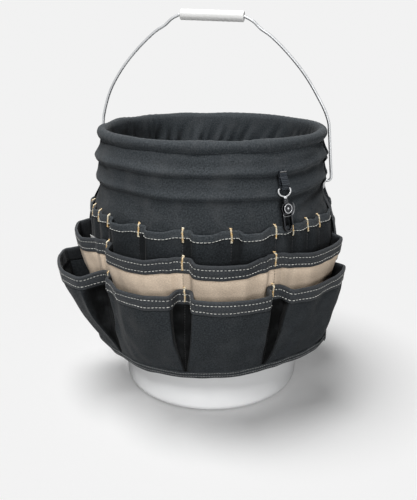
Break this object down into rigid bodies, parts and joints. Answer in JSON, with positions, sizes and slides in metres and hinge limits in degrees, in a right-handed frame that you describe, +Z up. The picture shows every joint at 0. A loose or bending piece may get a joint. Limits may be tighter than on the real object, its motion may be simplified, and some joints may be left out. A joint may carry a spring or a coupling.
{
  "type": "tool bucket organizer",
  "caption": "White plastic pail with a wire bail, wearing a dark cloth cover with tiers of outer pockets, bound mouths and a snap clip on a webbing loop.",
  "frame": {"origin": "centre of the pail's flat underside", "axes": "+Z up; X along the bail's pivot axis, +X to the right of someone who faces the front panel; the front panel is centred on -Y"},
  "size_m": [0.4076, 0.389, 0.5179],
  "materials": {
    "pail_plastic": "white moulded polyethylene, satin",
    "wire": "drawn and galvanised, light grey",
    "grip_plastic": "white moulded plastic tube",
    "cloth_charcoal": "heavy woven polyester, charcoal",
    "cloth_black": "heavy woven polyester, black",
    "cloth_tan": "brushed woven polyester, tan",
    "tape_black": "folded binding tape, black, light stitching",
    "webbing": "ribbed webbing, black",
    "clip_metal": "black plated die casting",
    "clip_bright": "plain plated steel",
    "label": "blank woven label, white"
  },
  "bodies": {
    "pail": {"pail_shell": "pail_plastic", "rim_roll": "cloth_charcoal", "inner_flap": "cloth_black", "inner_hem": "cloth_black", "care_label": "label", "clip_strap": "webbing", "front_panel": "cloth_charcoal", "top_pockets_front": "cloth_black", "mid_pockets_front": "cloth_tan", "lower_pockets_front": "cloth_black", "mid_binding_front": "tape_black", "lower_binding_front": "tape_black", "hem_binding_front": "tape_black", "slit_tape_front_left": "tape_black", "slit_tape_front_right": "tape_black", "back_panel": "cloth_charcoal", "top_pockets_back": "cloth_black", "mid_pockets_back": "cloth_tan", "lower_pockets_back": "cloth_black", "mid_binding_back": "tape_black", "lower_binding_back": "tape_black", "hem_binding_back": "tape_black", "slit_tape_back_left": "tape_black", "slit_tape_back_right": "tape_black"},
    "bail": {"bail_wire": "wire"},
    "grip": {"bail_grip": "grip_plastic"},
    "clip_eye": {"clip_eye": "clip_bright"},
    "clip_hook": {"clip_hook": "clip_metal", "clip_gate_pin": "clip_bright", "clip_gate_spring": "clip_bright"},
    "clip_gate": {"clip_gate": "clip_metal"}
  },
  "joints": [
    {"name": "bail_swing", "type": "hinge", "parent": "pail", "child": "bail", "pos_m": [0, 0, 0.3], "axis": [1, 0, 0], "range_deg": [-100, 100]},
    {"name": "grip_spin", "type": "hinge", "parent": "bail", "child": "grip", "pos_m": [0, 0, 0.5095], "axis": [0.9992, 0, -0.04], "continuous": true},
    {"name": "clip_swing", "type": "hinge", "parent": "pail", "child": "clip_eye", "pos_m": [0.11261, -0.11991, 0.314], "axis": [-0.729, -0.6845, 0], "range_deg": [0, 100]},
    {"name": "hook_swivel", "type": "hinge", "parent": "clip_eye", "child": "clip_hook", "pos_m": [0.11261, -0.11991, 0.314], "axis": [-0.154, 0.164, 0.9744], "continuous": true},
    {"name": "gate_trigger", "type": "hinge", "parent": "clip_hook", "child": "clip_gate", "pos_m": [0.1163, -0.12385, 0.29062], "axis": [-0.667, 0.7103, -0.225], "range_deg": [0, 13], "stiffness_Nm_per_rad": 0.005, "springref_deg": -11.46}
  ]
}
